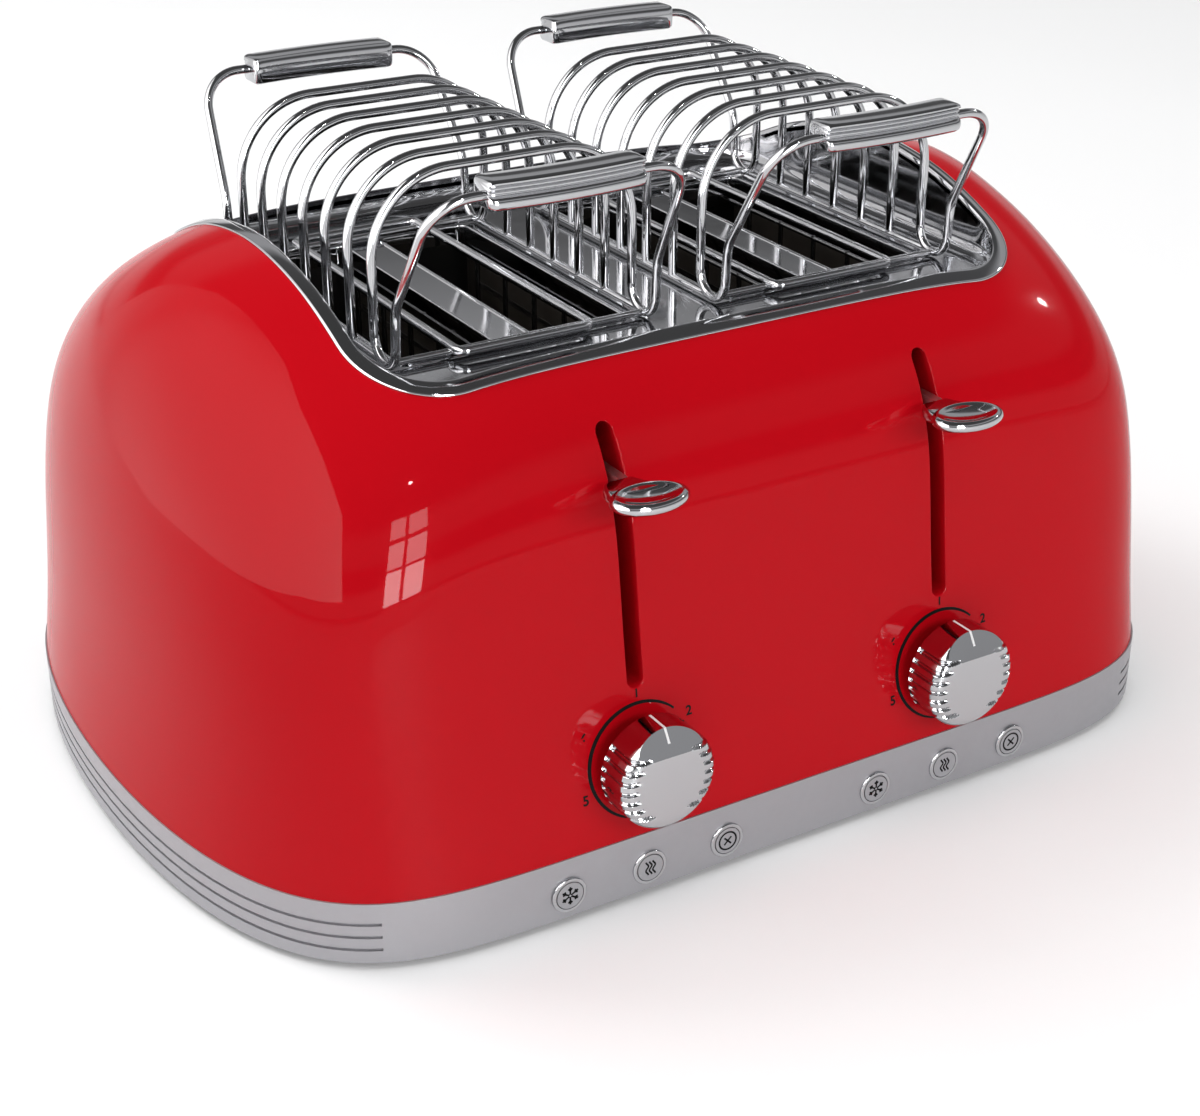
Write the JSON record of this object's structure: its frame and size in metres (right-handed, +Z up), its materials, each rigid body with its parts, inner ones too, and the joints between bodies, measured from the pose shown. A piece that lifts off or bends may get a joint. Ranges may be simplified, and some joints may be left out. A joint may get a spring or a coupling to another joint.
{
  "type": "pop up toaster",
  "caption": "Domed glossy toaster with paired bread slots, levers, ribbed browning knobs, push buttons in a satin base band and lift-off chrome wire bun racks.",
  "frame": {"origin": "on the standing surface, at the middle of the base", "axes": "+Z up, -Y towards the front with the levers and knobs, +X to the user's right"},
  "size_m": [0.3906, 0.2993, 0.2279],
  "materials": {
    "red_enamel": "gloss",
    "satin_band": "satin",
    "dark_plate": "satin",
    "foot_rubber": "matte",
    "bright_chrome": "polished",
    "chrome_wire": "polished",
    "black_plastic": "matte",
    "zinc_screw": "satin",
    "chamber_steel": "dark heat-tinted",
    "heater_card": "mica board",
    "heater_ribbon": "oxidised",
    "guide_wire": "bright wire",
    "magnet_coil": "lacquered copper and steel",
    "circuit_board": "solder mask",
    "satin_button": "satin",
    "satin_tray": "satin"
  },
  "bodies": {
    "root": {"body_shell": "red_enamel", "base_band": "satin_band", "bottom_plate": "dark_plate", "rubber_feet": "foot_rubber", "top_panel": "bright_chrome", "top_rim": "bright_chrome", "cord_inlet": "black_plastic", "base_screws": "zinc_screw", "left_chamber": "chamber_steel", "left_heater_cards": "heater_card", "left_heater_ribbons": "heater_ribbon", "left_bread_guides": "guide_wire", "left_guide_rod": "zinc_screw", "left_latch_magnet": "magnet_coil", "left_browning_control": "black_plastic", "left_button_bezels": "bright_chrome", "left_button_board": "circuit_board", "left_carriage_spring": "zinc_screw", "right_chamber": "chamber_steel", "right_heater_cards": "heater_card", "right_heater_ribbons": "heater_ribbon", "right_bread_guides": "guide_wire", "right_guide_rod": "zinc_screw", "right_latch_magnet": "magnet_coil", "right_browning_control": "black_plastic", "right_button_bezels": "bright_chrome", "right_button_board": "circuit_board", "right_carriage_spring": "zinc_screw"},
    "left_lever": {"left_lever_knob": "bright_chrome", "left_lever_arm": "zinc_screw", "left_carriage": "zinc_screw", "left_bread_lifters": "guide_wire"},
    "left_knob": {"left_browning_knob": "bright_chrome", "left_browning_shaft": "zinc_screw"},
    "left_defrost": {"left_defrost_button": "satin_button"},
    "left_reheat": {"left_reheat_button": "satin_button"},
    "left_cancel": {"left_cancel_button": "satin_button"},
    "left_tray": {"left_crumb_tray": "satin_tray"},
    "left_rack": {"left_rack_arches_front": "chrome_wire", "left_rack_arches_middle": "chrome_wire", "left_rack_arches_back": "chrome_wire", "left_rack_base_frame": "chrome_wire", "left_rack_handle_legs": "chrome_wire", "left_rack_grips": "bright_chrome"},
    "right_lever": {"right_lever_knob": "bright_chrome", "right_lever_arm": "zinc_screw", "right_carriage": "zinc_screw", "right_bread_lifters": "guide_wire"},
    "right_knob": {"right_browning_knob": "bright_chrome", "right_browning_shaft": "zinc_screw"},
    "right_defrost": {"right_defrost_button": "satin_button"},
    "right_reheat": {"right_reheat_button": "satin_button"},
    "right_cancel": {"right_cancel_button": "satin_button"},
    "right_tray": {"right_crumb_tray": "satin_tray"},
    "right_rack": {"right_rack_arches_front": "chrome_wire", "right_rack_arches_middle": "chrome_wire", "right_rack_arches_back": "chrome_wire", "right_rack_base_frame": "chrome_wire", "right_rack_handle_legs": "chrome_wire", "right_rack_grips": "bright_chrome"}
  },
  "joints": [
    {"name": "left_lever_slide", "type": "slide", "parent": "root", "child": "left_lever", "axis": [0, -0.1805, -0.9836], "range_m": [-0.008, 0.06], "stiffness_N_per_m": 90, "springref_m": -0.02, "deforming": ["left_carriage_spring"]},
    {"name": "left_knob_turn", "type": "hinge", "parent": "root", "child": "left_knob", "pos_m": [-0.06, -0.145, 0.0495], "axis": [0, 1, 0], "range_deg": [0, 300]},
    {"name": "left_defrost_press", "type": "slide", "parent": "root", "child": "left_defrost", "axis": [0, 1, 0], "range_m": [0, 0.0015], "stiffness_N_per_m": 400},
    {"name": "left_reheat_press", "type": "slide", "parent": "root", "child": "left_reheat", "axis": [0, 1, 0], "range_m": [0, 0.0015], "stiffness_N_per_m": 400},
    {"name": "left_cancel_press", "type": "slide", "parent": "root", "child": "left_cancel", "axis": [0, 1, 0], "range_m": [0, 0.0015], "stiffness_N_per_m": 400},
    {"name": "left_tray_slide", "type": "slide", "parent": "root", "child": "left_tray", "axis": [0, 1, 0], "range_m": [0, 0.15]},
    {"name": "left_rack_lift", "type": "slide", "parent": "root", "child": "left_rack", "axis": [0, 0, 1], "range_m": [0, 0.08]},
    {"name": "right_lever_slide", "type": "slide", "parent": "root", "child": "right_lever", "axis": [0, -0.1805, -0.9836], "range_m": [-0.008, 0.06], "stiffness_N_per_m": 90, "springref_m": -0.02, "deforming": ["right_carriage_spring"]},
    {"name": "right_knob_turn", "type": "hinge", "parent": "root", "child": "right_knob", "pos_m": [0.06, -0.145, 0.0495], "axis": [0, 1, 0], "range_deg": [0, 300]},
    {"name": "right_defrost_press", "type": "slide", "parent": "root", "child": "right_defrost", "axis": [0, 1, 0], "range_m": [0, 0.0015], "stiffness_N_per_m": 400},
    {"name": "right_reheat_press", "type": "slide", "parent": "root", "child": "right_reheat", "axis": [0, 1, 0], "range_m": [0, 0.0015], "stiffness_N_per_m": 400},
    {"name": "right_cancel_press", "type": "slide", "parent": "root", "child": "right_cancel", "axis": [0, 1, 0], "range_m": [0, 0.0015], "stiffness_N_per_m": 400},
    {"name": "right_tray_slide", "type": "slide", "parent": "root", "child": "right_tray", "axis": [0, 1, 0], "range_m": [0, 0.15]},
    {"name": "right_rack_lift", "type": "slide", "parent": "root", "child": "right_rack", "axis": [0, 0, 1], "range_m": [0, 0.08]}
  ]
}
